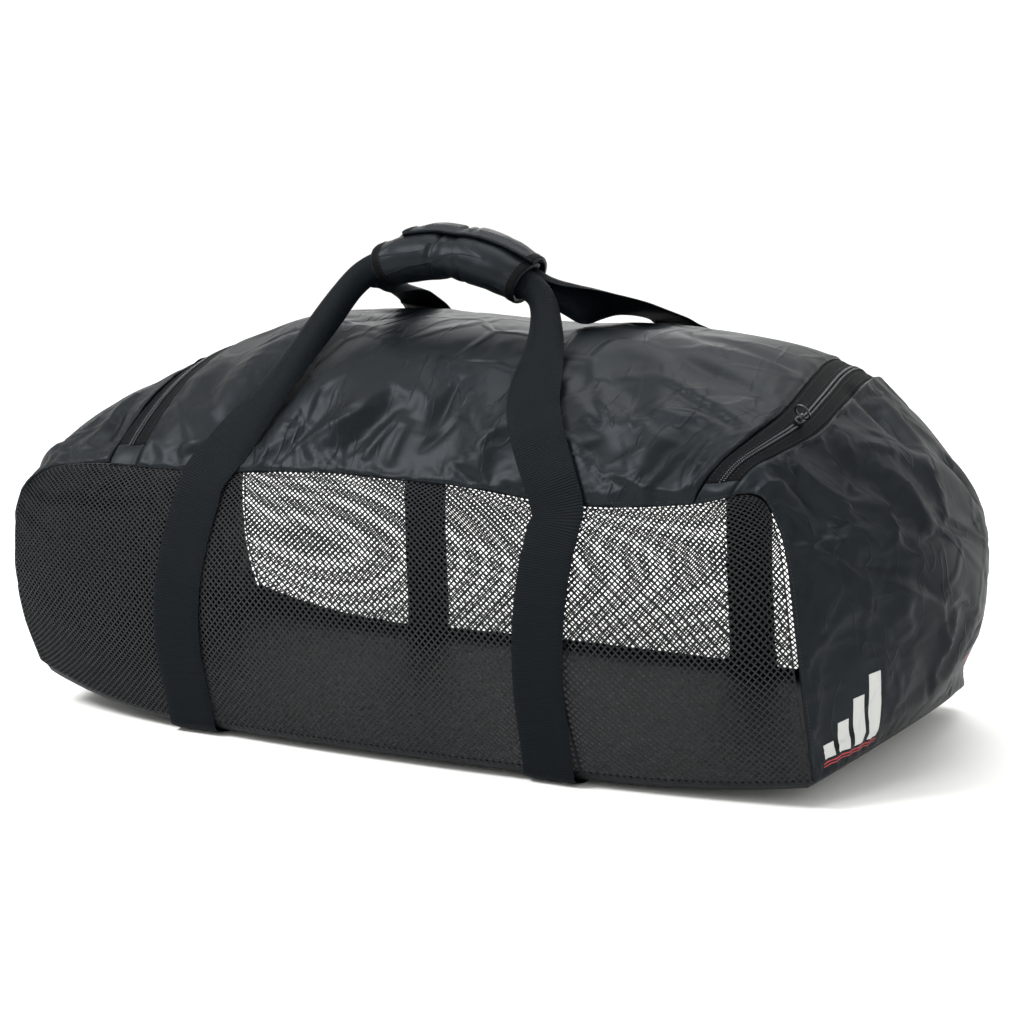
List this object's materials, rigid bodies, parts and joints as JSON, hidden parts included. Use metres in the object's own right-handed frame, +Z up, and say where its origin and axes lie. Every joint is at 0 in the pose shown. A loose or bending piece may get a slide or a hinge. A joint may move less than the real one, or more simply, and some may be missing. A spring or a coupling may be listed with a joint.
{
  "type": "mesh holdall bag",
  "caption": "Large soft holdall with net long sides, nylon lid and ends, a U-shaped zip and two webbing carry loops held together by a padded grip.",
  "frame": {"origin": "on the floor under the middle of the bag's box", "axes": "+X along the bag to the end with the zip slider, -Y to the front with the net side seen first, +Z up"},
  "size_m": [0.9216, 0.482, 0.4715],
  "materials": {
    "black_nylon": "soft sheen",
    "black_net": "open diamond net",
    "base_cloth": "coated cloth",
    "zip_tape": "woven tape",
    "zip_coil": "satin",
    "webbing": "ribbed weave",
    "black_plastic": "gloss"
  },
  "bodies": {
    "bag": {"base_panel": "base_cloth", "front_mesh": "black_net", "back_mesh": "black_net", "lid_panel": "black_nylon", "end_panel_left": "black_nylon", "end_panel_right": "black_nylon", "zip_tape_inner": "zip_tape", "zip_tape_outer": "zip_tape", "zip_coil": "zip_coil", "zip_tab_left": "black_nylon", "zip_tab_right": "black_nylon", "zip_slider": "black_plastic", "strap_front": "webbing", "strap_back": "webbing", "handle_wrap": "black_nylon"},
    "pull": {"zip_pull": "black_plastic"}
  },
  "joints": [
    {"name": "pull_hinge", "type": "hinge", "parent": "bag", "child": "pull", "pos_m": [0.33419, -0.11359, 0.32675], "axis": [0.869, 0.0626, -0.4908], "range_deg": [-115, 55]}
  ]
}
